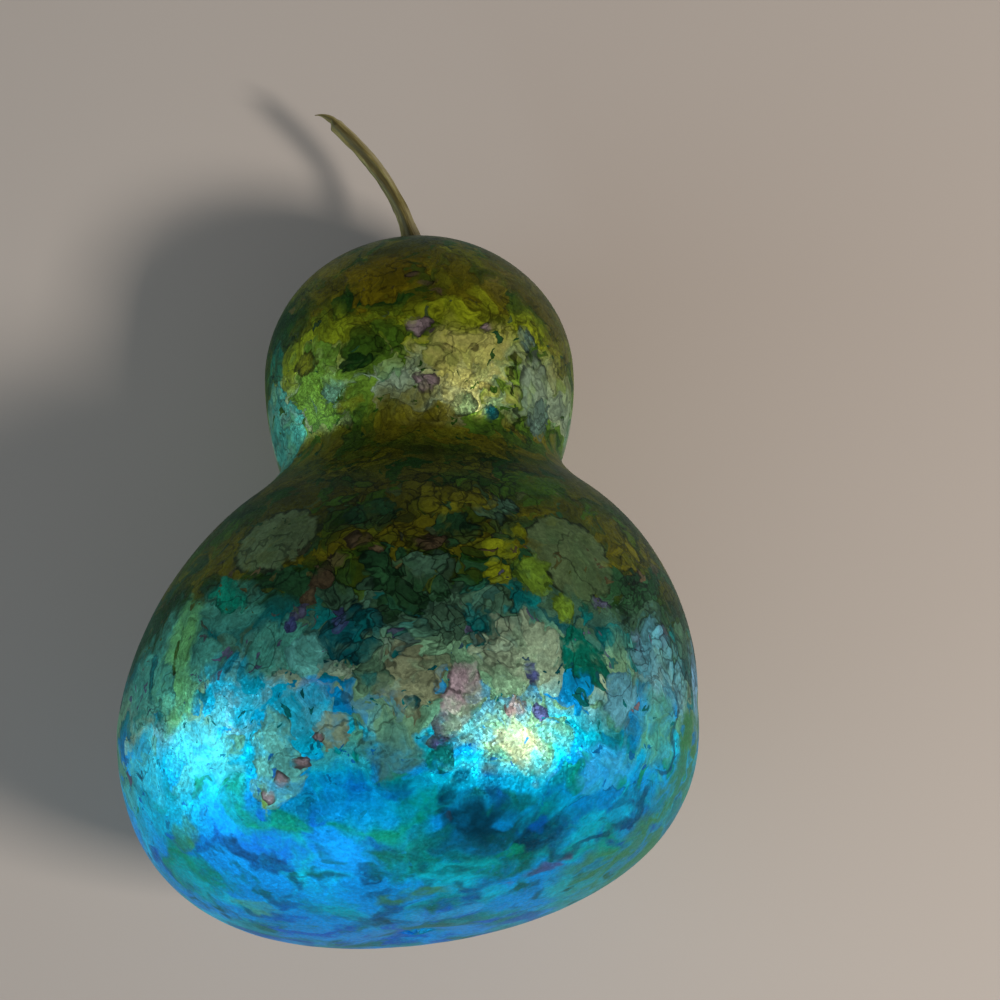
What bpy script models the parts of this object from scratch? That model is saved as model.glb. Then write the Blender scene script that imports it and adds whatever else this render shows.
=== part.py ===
"""A painted bottle gourd, lying on its side with its dried stem.

Metres, +Z up. +Y runs from the base of the gourd to its stem end, and the floor is Z = 0.
The fruit grew as one solid. Its stem is a second one, standing on the boss at the crown.
"""

import math

import bmesh
import bpy
import numpy as np
from mathutils import Matrix, Vector

# The fruit's profile, measured along its own axis from the widest part of the belly.
BELLY_RADIUS = 0.0612
SHOULDER_REACH = 0.0612
BASE_DEPTH = 0.0447
BASE_SQUARENESS = 2.4
CROWN_RADIUS = 0.0347
CROWN_SPACING = 0.0796
CROWN_RISE = 0.0317
CROWN_DROP = 0.0482
NECK_BLEND = 0.014
NECK_PLACE = 0.0560

# How the grown fruit departs from a turned one.
CROWN_SIDESTEP = 0.0055
BASE_SLANT = 0.054
OUT_OF_ROUND = 0.006
OUT_OF_ROUND_TURN = math.radians(40)
SOFT_RIB = 0.0035
SOFT_RIB_COUNT = 5

# The raised boss that carries the stem, and the dimple round the dried blossom scar.
BOSS_RISE = 0.0011
BOSS_SPREAD = 0.0052
DIMPLE_DEPTH = 0.0018
DIMPLE_SPREAD = 0.0085
SCAR_RISE = 0.0010
SCAR_SPREAD = 0.0022

# How it lies: turned a little on the floor, on two flat spots this deep.
YAW = math.radians(3.4)
FLAT_DEPTH = 0.0004
BELLY_X = -0.0003
BELLY_Y = -0.0451

# The stem, from its foot on the boss to its torn tip.
STEM_RADIUS = 0.00172
STEM_END_RADIUS = 0.00150
STEM_LENGTH = 0.0403
STEM_FOOT_FLARE = 0.85
STEM_FOOT_LENGTH = 0.0022
STEM_GAP = 0.0003
STEM_START_HEADING = math.radians(9)
STEM_END_HEADING = math.radians(48)
STEM_END_PITCH = math.radians(7)
STEM_RIDGES = 5
STEM_RIDGE_DEPTH = 0.09
STEM_TWIST = math.radians(110)
TEAR_START = 0.87
TEAR_RADIUS = 0.00028
TEAR_CURL = math.radians(24)

# How finely the faceted solids are cut.
FRUIT_SEGMENTS = 60
FRUIT_RINGS = 50
PROFILE_SAMPLES = 2000
POLE_CROWDING = 0.8
POLE_CROWDING_REACH = 0.010
NECK_CROWDING = 0.5
NECK_CROWDING_REACH = 0.014
LIE_HALVINGS = 40
STEEPEST_LIE = math.radians(45)
SHARP_ANGLE = math.radians(40)
STEM_SIDES = 20
STEM_RINGS = 30

FRUIT_COLOUR = (0.06, 0.33, 0.36, 1.0)
STEM_COLOUR = (0.16, 0.12, 0.035, 1.0)


def clear_scene():
    for obj in list(bpy.data.objects):
        bpy.data.objects.remove(obj)


def material(name, colour, roughness, metallic):
    made = bpy.data.materials.new(name)
    made.use_nodes = True
    shader = made.node_tree.nodes["Principled BSDF"]
    shader.inputs["Base Color"].default_value = colour
    shader.inputs["Roughness"].default_value = roughness
    shader.inputs["Metallic"].default_value = metallic
    return made


def profile_radius(along):
    """Radius of the fruit at each place along its axis: two lobes, blended at the neck."""
    belly_reach = np.where(along > 0, SHOULDER_REACH, BASE_DEPTH)
    belly_power = np.where(along > 0, 2.0, BASE_SQUARENESS)
    filled = np.abs(along / belly_reach) ** belly_power
    belly = BELLY_RADIUS * np.clip(1 - filled, 0, None) ** (1 / belly_power)
    above = along - CROWN_SPACING
    crown_reach = np.where(above > 0, CROWN_RISE, CROWN_DROP)
    crown = CROWN_RADIUS * np.sqrt(np.clip(1 - (above / crown_reach) ** 2, 0, None))
    share = np.clip(0.5 + 0.5 * (belly - crown) / NECK_BLEND, 0, 1)
    neck = crown + (belly - crown) * share + NECK_BLEND * share * (1 - share)
    return np.where((along > 0) & (along < CROWN_SPACING), neck, np.maximum(belly, crown))


def near(distance, spread):
    """1 at no distance, falling smoothly to 0 past the spread."""
    return np.exp(-((distance / spread) ** 2))


def profile_points():
    """(along, radius) of each ring, closer together at the two poles and in the neck."""
    turn = np.linspace(0, math.pi, PROFILE_SAMPLES)
    length = BASE_DEPTH + CROWN_SPACING + CROWN_RISE
    along = -BASE_DEPTH + length * (1 - np.cos(turn)) / 2
    radius = profile_radius(along)
    step = 1 - POLE_CROWDING * near(radius, POLE_CROWDING_REACH)
    step -= NECK_CROWDING * near(along - NECK_PLACE, NECK_CROWDING_REACH)
    travelled = np.hypot(np.diff(along), np.diff(radius))
    crowding = travelled / (0.5 * (step[1:] + step[:-1]))
    counted = np.concatenate([[0.0], np.cumsum(crowding)])
    wanted = np.linspace(0, counted[-1], FRUIT_RINGS + 1)
    return np.interp(wanted, counted, along), np.interp(wanted, counted, radius)


def grow(point):
    """Moves a point of the turned shape to where the grown fruit has it."""
    along = point.y
    radius = math.hypot(point.x, point.z)
    turn = math.atan2(point.z, point.x)
    swell = OUT_OF_ROUND * math.cos(2 * (turn - OUT_OF_ROUND_TURN))
    swell += SOFT_RIB * math.cos(SOFT_RIB_COUNT * turn)
    side = radius * (1 + swell) * math.cos(turn)
    up = radius * (1 + swell) * math.sin(turn)
    if along > 0:
        lean = min(along / CROWN_SPACING, 1.0)
        side += CROWN_SIDESTEP * math.sin(lean * math.pi / 2)
        boss = BOSS_RISE * near((radius / BOSS_SPREAD) ** 2, 1.0)
        return Vector((side, along + boss * (along > CROWN_SPACING), up))
    depth = min(-along / BASE_DEPTH, 1.0)
    hollow = DIMPLE_DEPTH * near(radius, DIMPLE_SPREAD)
    scar = SCAR_RISE * near(radius, SCAR_SPREAD)
    return Vector((side, along + (BASE_SLANT * side + hollow - scar) * depth, up))


def resting_lie():
    """Tilt at which belly and crown both touch the floor, and the belly centre's height."""
    along = np.linspace(-BASE_DEPTH, CROWN_SPACING + CROWN_RISE, PROFILE_SAMPLES)
    radius = profile_radius(along)
    crown = along > NECK_PLACE
    level, steep = 0.0, STEEPEST_LIE
    for _ in range(LIE_HALVINGS):
        tilt = (level + steep) / 2
        drop = radius * math.cos(tilt) + along * math.sin(tilt)
        if drop[crown].max() > drop[~crown].max():
            steep = tilt
        else:
            level = tilt
    return tilt, drop.max() - FLAT_DEPTH


def lie_down():
    """Carries the fruit's own axes, with the belly's centre as origin, to where it lies."""
    tilt, height = resting_lie()
    turned = Matrix.Rotation(YAW, 4, "Z") @ Matrix.Rotation(-tilt, 4, "X")
    return Matrix.Translation((BELLY_X, BELLY_Y, height)) @ turned


def add_object(name, shape, finish):
    mesh = bpy.data.meshes.new(name)
    bmesh.ops.recalc_face_normals(shape, faces=shape.faces)
    shape.to_mesh(mesh)
    shape.free()
    mesh.shade_smooth()
    mesh.set_sharp_from_angle(angle=SHARP_ANGLE)
    mesh.materials.append(finish)
    obj = bpy.data.objects.new(name, mesh)
    bpy.context.scene.collection.objects.link(obj)


def cut_flat_spots(shape):
    """Cuts the two small flat spots that it rests on, under the belly and under the crown."""
    cut = bmesh.ops.bisect_plane(
        shape,
        geom=shape.verts[:] + shape.edges[:] + shape.faces[:],
        plane_co=(0, 0, 0),
        plane_no=(0, 0, -1),
        clear_outer=True,
    )
    rims = [item for item in cut["geom_cut"] if isinstance(item, bmesh.types.BMEdge)]
    bmesh.ops.holes_fill(shape, edges=rims, sides=0)


def build_fruit():
    """The fruit: its profile spun about its axis, grown out of round and laid on the floor."""
    shape = bmesh.new()
    outline = [shape.verts.new((r, y, 0)) for y, r in zip(*profile_points())]
    edges = [shape.edges.new(pair) for pair in zip(outline, outline[1:])]
    bmesh.ops.spin(
        shape,
        geom=outline + edges,
        cent=(0, 0, 0),
        axis=(0, 1, 0),
        angle=math.tau,
        steps=FRUIT_SEGMENTS,
        use_merge=True,
    )
    bmesh.ops.remove_doubles(shape, verts=shape.verts, dist=1e-6)
    for vert in shape.verts:
        vert.co = grow(vert.co)
    bmesh.ops.transform(shape, matrix=lie_down(), verts=shape.verts)
    cut_flat_spots(shape)
    add_object("gourd", shape, material("ink_on_pearl", FRUIT_COLOUR, 0.35, 0.5))


def stem_centreline():
    """Share of the length, place and direction of each ring: it curls aside and levels out."""
    step = STEM_LENGTH / STEM_RINGS
    lie = lie_down()
    start_pitch = math.asin(lie.col[1].z)
    foot = CROWN_SPACING + CROWN_RISE + BOSS_RISE + STEM_GAP
    place = lie @ Vector((CROWN_SIDESTEP, foot, 0))
    for ring in range(STEM_RINGS + 1):
        share = ring / STEM_RINGS
        bend = math.sin(share * math.pi / 2)
        torn = max(0.0, (share - TEAR_START) / (1 - TEAR_START))
        heading = STEM_START_HEADING + (STEM_END_HEADING - STEM_START_HEADING) * bend
        heading += TEAR_CURL * torn
        pitch = start_pitch + (STEM_END_PITCH - start_pitch) * bend
        level = Vector((-math.sin(heading), math.cos(heading), 0))
        ahead = level * math.cos(pitch) + Vector((0, 0, math.sin(pitch)))
        yield share, torn, place.copy(), ahead
        place += ahead * step


def stem_ring(share, torn, place, ahead):
    """One ridged section of the stem, flared at the foot and torn to a sliver at the tip."""
    across = ahead.cross(Vector((0, 0, 1))).normalized()
    over = across.cross(ahead)
    whole = STEM_RADIUS + (STEM_END_RADIUS - STEM_RADIUS) * share
    flare = 1 + STEM_FOOT_FLARE * math.exp(-share * STEM_LENGTH / STEM_FOOT_LENGTH)
    radius = whole * flare * (1 - torn) + TEAR_RADIUS * torn
    middle = place + across * (whole - radius) * torn
    for side in range(STEM_SIDES):
        turn = math.tau * side / STEM_SIDES
        ridge = 1 + STEM_RIDGE_DEPTH * math.cos(STEM_RIDGES * (turn - STEM_TWIST * share))
        yield middle + (across * math.cos(turn) + over * math.sin(turn)) * radius * ridge


def build_stem():
    """The dried stem, a ridged and twisted rod on the crown's boss."""
    shape = bmesh.new()
    rings = []
    for section in stem_centreline():
        rings.append([shape.verts.new(point) for point in stem_ring(*section)])
    for lower, upper in zip(rings, rings[1:]):
        for side in range(STEM_SIDES):
            after = (side + 1) % STEM_SIDES
            shape.faces.new((lower[side], lower[after], upper[after], upper[side]))
    shape.faces.new(rings[0])
    shape.faces.new(rings[-1])
    add_object("stem", shape, material("dried_stem", STEM_COLOUR, 0.7, 0.0))


clear_scene()
build_fruit()
build_stem()
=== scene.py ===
"""Looks of the painted gourd: marbled inks over a pearl ground, and a dry woody stem."""

import math
from types import SimpleNamespace

import bpy
from mathutils import Matrix, Vector


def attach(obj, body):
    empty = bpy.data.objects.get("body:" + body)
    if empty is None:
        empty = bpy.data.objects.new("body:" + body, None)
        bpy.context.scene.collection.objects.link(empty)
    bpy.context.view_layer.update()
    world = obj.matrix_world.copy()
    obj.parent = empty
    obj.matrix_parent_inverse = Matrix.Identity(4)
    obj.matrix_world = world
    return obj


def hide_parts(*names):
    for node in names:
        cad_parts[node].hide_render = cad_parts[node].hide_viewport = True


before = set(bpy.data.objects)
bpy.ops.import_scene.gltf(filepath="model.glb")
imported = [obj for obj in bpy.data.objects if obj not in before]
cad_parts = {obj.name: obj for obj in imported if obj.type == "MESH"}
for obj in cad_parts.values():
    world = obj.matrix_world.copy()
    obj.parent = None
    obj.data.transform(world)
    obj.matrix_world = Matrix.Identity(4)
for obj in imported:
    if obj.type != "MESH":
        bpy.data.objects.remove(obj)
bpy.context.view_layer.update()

MM = 0.001

# The fruit's profile, along its own axis from the widest part of the belly.
BELLY_RADIUS = 0.0612
SHOULDER_REACH = 0.0612
BASE_DEPTH = 0.0447
BASE_SQUARENESS = 2.4
CROWN_RADIUS = 0.0347
CROWN_SPACING = 0.0796
CROWN_RISE = 0.0317
CROWN_DROP = 0.0482
NECK_BLEND = 0.014
FRUIT_LENGTH = BASE_DEPTH + CROWN_SPACING + CROWN_RISE

# How the grown fruit departs from a turned one.
CROWN_SIDESTEP = 0.0055
BASE_SLANT = 0.054
OUT_OF_ROUND = 0.006
OUT_OF_ROUND_TURN = math.radians(40)
SOFT_RIB = 0.0035
SOFT_RIB_COUNT = 5
BOSS_RISE = 0.0011
BOSS_SPREAD = 0.0052
DIMPLE_DEPTH = 0.0018
DIMPLE_SPREAD = 0.0085
SCAR_RISE = 0.0010
SCAR_SPREAD = 0.0022

# Skin relief that the solid leaves out.
WAVE_HEIGHT = 0.00030
WAVE_SIZE = 0.020
WAVE_DETAIL = 3.0
WAVE_ROUGHNESS = 0.45
SCAR_WRINKLE = 0.00022
SCAR_WRINKLES = 11
SCAR_WRINKLE_SPREAD = SCAR_SPREAD * 0.6

# The fruit's mesh. Its rings stand closer at both poles.
FRUIT_SEGMENTS = 240
FRUIT_RINGS = 400
POLE_CROWDING = 0.25

# How it lies.
LIE_ANGLE = math.radians(19.696)
YAW = math.radians(3.4)
BELLY_PLACE = Vector((-0.0003, -0.0451, 0.0608))

# The stem.
STEM_RADIUS = 0.00172
STEM_END_RADIUS = 0.00150
STEM_LENGTH = 0.0403
STEM_FOOT_FLARE = 0.85
STEM_FOOT_LENGTH = 0.0022
STEM_START_HEADING = math.radians(9)
STEM_END_HEADING = math.radians(48)
STEM_END_PITCH = math.radians(7)
STEM_RIDGES = 5
STEM_RIDGE_DEPTH = 0.09
STEM_TWIST = math.radians(110)
TEAR_START = 0.87
TEAR_END = 0.915
TEAR_CURL = math.radians(62)
TEAR_RAGGEDNESS = 0.12
SPLINTER_RADIUS = 0.00085
SPLINTER_TIP = 0.00010
SPLINTER_SHIFT = 0.85

# Fibres run along the stem: their noise is read on a thin rod this wide and this long.
FIBRE_ROD_RADIUS = 0.002
FIBRE_ROD_LENGTH = 0.008
FIBRE_SIZE = 0.0009
FIBRE_DEPTH = 0.22
KNOT_SIZE = 0.006
KNOT_DEPTH = 0.30

# The stem's mesh: points of its path, sides, and steps along it.
STEM_POINTS = 60
STEM_SIDES = 60
STEM_STEPS = 260

# The camera looks straight down, from this far above the floor and this far from the belly.
CAMERA_HEIGHT = 0.500
CAMERA_ASIDE = Vector((0.01938, 0.04805))
CAMERA_LENS = 74.3
SENSOR_WIDTH = 36.0

# A plain floor, faint light from all round, and soft boxes that face the fruit, each with its
# direction, distance, width, height, power and colour.
FLOOR_HALF_WIDTH = 6.0
FLOOR_COLOUR = (0.45, 0.40, 0.385, 1.0)
FLOOR_ROUGHNESS = 0.85
AIR_COLOUR = (1.0, 0.95, 0.90, 1.0)
AIR_STRENGTH = 0.15
WARM_LIGHT = (1.0, 0.93, 0.80)
COOL_LIGHT = (0.72, 0.93, 1.0)
SOFTBOXES = {
    "key": ((0.67, -0.17, 0.73), 0.9, 0.20, 0.20, 7.2, WARM_LIGHT),
    "left_fill": ((-0.96, -0.24, 0.22), 2.0, 1.50, 0.90, 20.5, COOL_LIGHT),
    "base_fill": ((-0.40, -0.90, 0.20), 2.0, 2.00, 1.00, 14.5, COOL_LIGHT),
}


class Wire:
    """A node's output. Sums on wires add the Math nodes that they need."""

    def __init__(self, graph, socket):
        self.graph = graph
        self.socket = socket

    def math(self, operation, *others):
        return self.graph.add("ShaderNodeMath", {"operation": operation}, [self, *others])

    def __add__(self, other):
        return self.math("ADD", other)

    def __sub__(self, other):
        return self.math("SUBTRACT", other)

    def __mul__(self, other):
        return self.math("MULTIPLY", other)

    def __truediv__(self, other):
        return self.math("DIVIDE", other)

    def __pow__(self, other):
        return self.math("POWER", other)

    def __rsub__(self, other):
        return self.graph.add("ShaderNodeMath", {"operation": "SUBTRACT"}, [other, self])

    def __rtruediv__(self, other):
        return self.graph.add("ShaderNodeMath", {"operation": "DIVIDE"}, [other, self])

    __radd__ = __add__
    __rmul__ = __mul__

    def clamped(self):
        return self.math("MAXIMUM", 0.0).math("MINIMUM", 1.0)

    def other(self, name):
        """Another output of the same node."""
        return Wire(self.graph, self.socket.node.outputs[name])


class Graph:
    """A node tree, and the one way that nodes are added to it."""

    def __init__(self, tree):
        self.tree = tree

    def add(self, kind, settings=None, inputs=(), output=0):
        node = self.tree.nodes.new(kind)
        for name, value in (settings or {}).items():
            if name == "stops":
                set_stops(node.color_ramp, value)
            else:
                setattr(node, name, value)
        named = inputs.items() if isinstance(inputs, dict) else enumerate(inputs)
        for key, value in named:
            self.feed(node.inputs[key], value)
        return Wire(self, node.outputs[output])

    def feed(self, socket, value):
        if isinstance(value, Wire):
            self.tree.links.new(value.socket, socket)
        else:
            socket.default_value = value

    def vector(self, operation, *inputs, output=0):
        return self.add("ShaderNodeVectorMath", {"operation": operation}, inputs, output)

    def joined(self, x, y, z):
        return self.add("ShaderNodeCombineXYZ", inputs=[x, y, z])

    def parts(self, vector):
        node = self.add("ShaderNodeSeparateXYZ", inputs=[vector]).socket.node
        return [Wire(self, socket) for socket in node.outputs]

    def blend(self, share, under, over, way="MIX"):
        settings = {"data_type": "RGBA", "blend_type": way}
        return self.add("ShaderNodeMix", settings, {0: share, 6: under, 7: over}, output=2)

    def noise(self, place, size, detail=2.0, roughness=0.5, output="Factor"):
        inputs = {"Vector": place, "Scale": 1 / size, "Detail": detail, "Roughness": roughness}
        node = self.add("ShaderNodeTexNoise", {}, inputs).socket.node
        return Wire(self, node.outputs[0 if output == "Factor" else 1])

    def step(self, value, start, end, low=0.0, high=1.0):
        """Rises smoothly from low to high while the value goes from start to end."""
        inputs = {"Value": value, "From Min": start, "From Max": end, "To Min": low, "To Max": high}
        return self.add("ShaderNodeMapRange", {"interpolation_type": "SMOOTHSTEP"}, inputs)


def set_stops(ramp, stops):
    while len(ramp.elements) > 1:
        ramp.elements.remove(ramp.elements[-1])
    for index, (position, colour) in enumerate(stops):
        element = ramp.elements[0] if index == 0 else ramp.elements.new(position)
        element.position = position
        element.color = colour


def paint(red, green, blue):
    """A display colour, 0 to 255, as the linear colour that a shader takes."""
    shares = [channel / 255 for channel in (red, green, blue)]
    linear = [c / 12.92 if c <= 0.04045 else ((c + 0.055) / 1.055) ** 2.4 for c in shares]
    return (*linear, 1.0)


# Geometry Nodes


def geometry_graph(name, sizes):
    """A new geometry tree with named inputs. Returns its graph and a wire for each input."""
    tree = bpy.data.node_groups.new(name, "GeometryNodeTree")
    tree.interface.new_socket("Geometry", in_out="INPUT", socket_type="NodeSocketGeometry")
    for label, value in sizes.items():
        kind = "NodeSocketInt" if isinstance(value, int) else "NodeSocketFloat"
        tree.interface.new_socket(label, in_out="INPUT", socket_type=kind)
    tree.interface.new_socket("Geometry", in_out="OUTPUT", socket_type="NodeSocketGeometry")
    graph = Graph(tree)
    source = tree.nodes.new("NodeGroupInput")
    return graph, {socket.name: Wire(graph, socket) for socket in source.outputs if socket.name}


def finish_graph(graph, geometry, finish, others=()):
    """Ends a geometry tree: smooth, real faces with their material on, or others where selected."""
    geometry = graph.add("GeometryNodeSetShadeSmooth", {}, {"Geometry": geometry})
    geometry = graph.add("GeometryNodeRealizeInstances", {}, {"Geometry": geometry})
    geometry = graph.add("GeometryNodeSetMaterial", {}, {"Geometry": geometry, "Material": finish})
    for other, where in others:
        inputs = {"Geometry": geometry, "Material": other, "Selection": where}
        geometry = graph.add("GeometryNodeSetMaterial", {}, inputs)
    end = graph.tree.nodes.new("NodeGroupOutput")
    graph.tree.links.new(geometry.socket, end.inputs[0])


def grown(name, start, graph, sizes):
    """Runs a geometry tree on a starting mesh and returns the result as a plain mesh object."""
    obj = bpy.data.objects.new(name + "_source", start)
    bpy.context.scene.collection.objects.link(obj)
    modifier = obj.modifiers.new("grow", "NODES")
    modifier.node_group = graph.tree
    for item in graph.tree.interface.items_tree:
        if item.in_out == "INPUT" and item.name in sizes:
            modifier[item.identifier] = sizes[item.name]
    depsgraph = bpy.context.evaluated_depsgraph_get()
    mesh = bpy.data.meshes.new_from_object(obj.evaluated_get(depsgraph), depsgraph=depsgraph)
    mesh.name = name
    bpy.data.objects.remove(obj)
    piece = bpy.data.objects.new(name, mesh)
    bpy.context.scene.collection.objects.link(piece)
    return piece


def lobe_profile(along, size):
    """Radius of the fruit at a place along its axis: two lobes, blended at the neck."""
    past_belly = along.math("GREATER_THAN", 0.0)
    reach = past_belly * (size["Shoulder Reach"] - size["Base Depth"]) + size["Base Depth"]
    power = past_belly * (2.0 - size["Base Squareness"]) + size["Base Squareness"]
    filled = (along / reach).math("ABSOLUTE") ** power
    belly = size["Belly Radius"] * (1.0 - filled).clamped() ** (1.0 / power)
    above = along - size["Crown Spacing"]
    past_crown = above.math("GREATER_THAN", 0.0)
    crown_reach = past_crown * (size["Crown Rise"] - size["Crown Drop"]) + size["Crown Drop"]
    crown = size["Crown Radius"] * (1.0 - (above / crown_reach) ** 2.0).clamped() ** 0.5
    share = ((belly - crown) / size["Neck Blend"] * 0.5 + 0.5).clamped()
    neck = crown + (belly - crown) * share + size["Neck Blend"] * share * (1.0 - share)
    between_lobes = past_belly * (1.0 - past_crown)
    return neck * between_lobes + belly.math("MAXIMUM", crown) * (1.0 - between_lobes)


def near(distance, spread):
    """1 at no distance, falling smoothly to 0 past the spread."""
    return ((distance / spread) ** 2.0 * -1.0).math("EXPONENT")


def own_place(graph, size):
    """Where each point of a sphere goes on the standing fruit, whose axis runs along Y."""
    x, y, z = graph.parts(graph.add("GeometryNodeInputPosition"))
    polar = z.math("MINIMUM", 1.0).math("MAXIMUM", -1.0).math("ARCCOSINE")
    crowded = polar - (polar * 2.0).math("SINE") * POLE_CROWDING
    length = size["Base Depth"] + size["Crown Spacing"] + size["Crown Rise"]
    along = length * (crowded.math("COSINE") + 1.0) * 0.5 - size["Base Depth"]
    radius = lobe_profile(along, size)
    turn = (y * -1.0).math("ARCTAN2", x)
    swell = ((turn - OUT_OF_ROUND_TURN) * 2.0).math("COSINE") * OUT_OF_ROUND
    swell = swell + (turn * SOFT_RIB_COUNT).math("COSINE") * SOFT_RIB
    full = radius * (swell + 1.0)
    lean = (along / size["Crown Spacing"]).clamped() * (math.pi / 2)
    side = full * turn.math("COSINE") + lean.math("SINE") * size["Crown Sidestep"]
    up = full * turn.math("SINE")
    boss = near((radius / BOSS_SPREAD) ** 2.0, 1.0) * BOSS_RISE
    boss = boss * along.math("GREATER_THAN", CROWN_SPACING)
    depth = (along * -1.0 / size["Base Depth"]).clamped()
    scar = near(radius - SCAR_SPREAD, SCAR_WRINKLE_SPREAD)
    wrinkle = (turn * SCAR_WRINKLES).math("COSINE") * scar
    hollow = near(radius, DIMPLE_SPREAD) * DIMPLE_DEPTH - near(radius, SCAR_SPREAD) * SCAR_RISE
    hollow = hollow + wrinkle * SCAR_WRINKLE + side * BASE_SLANT
    return graph.joined(side, along + boss + hollow * depth, up)


def turned(graph, vector, axis, angle):
    inputs = {"Vector": vector, "Angle": angle}
    return graph.add("ShaderNodeVectorRotate", {"rotation_type": axis}, inputs)


def fruit_tree(skins, sizes):
    """The fruit from a sphere: each point goes to its own place, then the fruit is laid down."""
    graph, size = geometry_graph("fruit", sizes)
    sphere = graph.add("GeometryNodeMeshUVSphere", {}, [size["Segments"], size["Rings"], 1.0])
    own = own_place(graph, size)
    store = {"data_type": "FLOAT_VECTOR", "domain": "POINT"}
    kept = {"Geometry": sphere, "Name": "own_place", "Value": own}
    fruit = graph.add("GeometryNodeStoreNamedAttribute", store, kept)
    fruit = graph.add("GeometryNodeSetPosition", {}, {"Geometry": fruit, "Position": own})
    wave = graph.noise(own, WAVE_SIZE, WAVE_DETAIL, WAVE_ROUGHNESS) - 0.5
    raised = graph.vector("SCALE", graph.add("GeometryNodeInputNormal"))
    graph.feed(raised.socket.node.inputs["Scale"], wave * (2 * WAVE_HEIGHT))
    fruit = graph.add("GeometryNodeSetPosition", {}, {"Geometry": fruit, "Offset": raised})
    place = graph.add("GeometryNodeInputPosition")
    tilted = turned(graph, place, "X_AXIS", -LIE_ANGLE)
    laid = graph.vector("ADD", turned(graph, tilted, "Z_AXIS", YAW), BELLY_PLACE)
    x, y, z = graph.parts(laid)
    resting = graph.joined(x, y, z.math("MAXIMUM", 0.0))
    fruit = graph.add("GeometryNodeSetPosition", {}, {"Geometry": fruit, "Position": resting})
    named = {"data_type": "FLOAT_VECTOR"}
    stored = graph.add("GeometryNodeInputNamedAttribute", named, {"Name": "own_place"})
    along = graph.parts(stored)[1]
    later = [(skin, along.math("GREATER_THAN", low * MM)) for skin, low in skins[1:]]
    finish_graph(graph, fruit, skins[0][0], later)
    return graph


def build_fruit(skins):
    sizes = {
        "Belly Radius": BELLY_RADIUS,
        "Shoulder Reach": SHOULDER_REACH,
        "Base Depth": BASE_DEPTH,
        "Base Squareness": BASE_SQUARENESS,
        "Crown Radius": CROWN_RADIUS,
        "Crown Spacing": CROWN_SPACING,
        "Crown Rise": CROWN_RISE,
        "Crown Drop": CROWN_DROP,
        "Crown Sidestep": CROWN_SIDESTEP,
        "Neck Blend": NECK_BLEND,
        "Segments": FRUIT_SEGMENTS,
        "Rings": FRUIT_RINGS,
    }
    piece = grown("painted_fruit", bpy.data.meshes.new("empty"), fruit_tree(skins, sizes), sizes)
    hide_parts("gourd")
    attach(piece, "root")


def lie_down():
    """Carries the fruit's own axes, with the belly's centre as origin, to where it lies."""
    turned_down = Matrix.Rotation(YAW, 4, "Z") @ Matrix.Rotation(-LIE_ANGLE, 4, "X")
    return Matrix.Translation(BELLY_PLACE) @ turned_down


def stem_path():
    """Points of the stem's centreline: it curls aside and levels out."""
    step = STEM_LENGTH / STEM_POINTS
    place = lie_down() @ Vector((CROWN_SIDESTEP, CROWN_SPACING + CROWN_RISE + BOSS_RISE, 0))
    points = []
    for index in range(STEM_POINTS + 1):
        share = index / STEM_POINTS
        bend = math.sin(share * math.pi / 2)
        torn = max(0.0, (share - TEAR_START) / (1 - TEAR_START))
        heading = STEM_START_HEADING + (STEM_END_HEADING - STEM_START_HEADING) * bend
        heading += TEAR_CURL * torn
        pitch = -LIE_ANGLE + (STEM_END_PITCH + LIE_ANGLE) * bend
        level = Vector((-math.sin(heading), math.cos(heading), 0))
        points.append(place.copy())
        place += (level * math.cos(pitch) + Vector((0, 0, math.sin(pitch)))) * step
    return points


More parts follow.
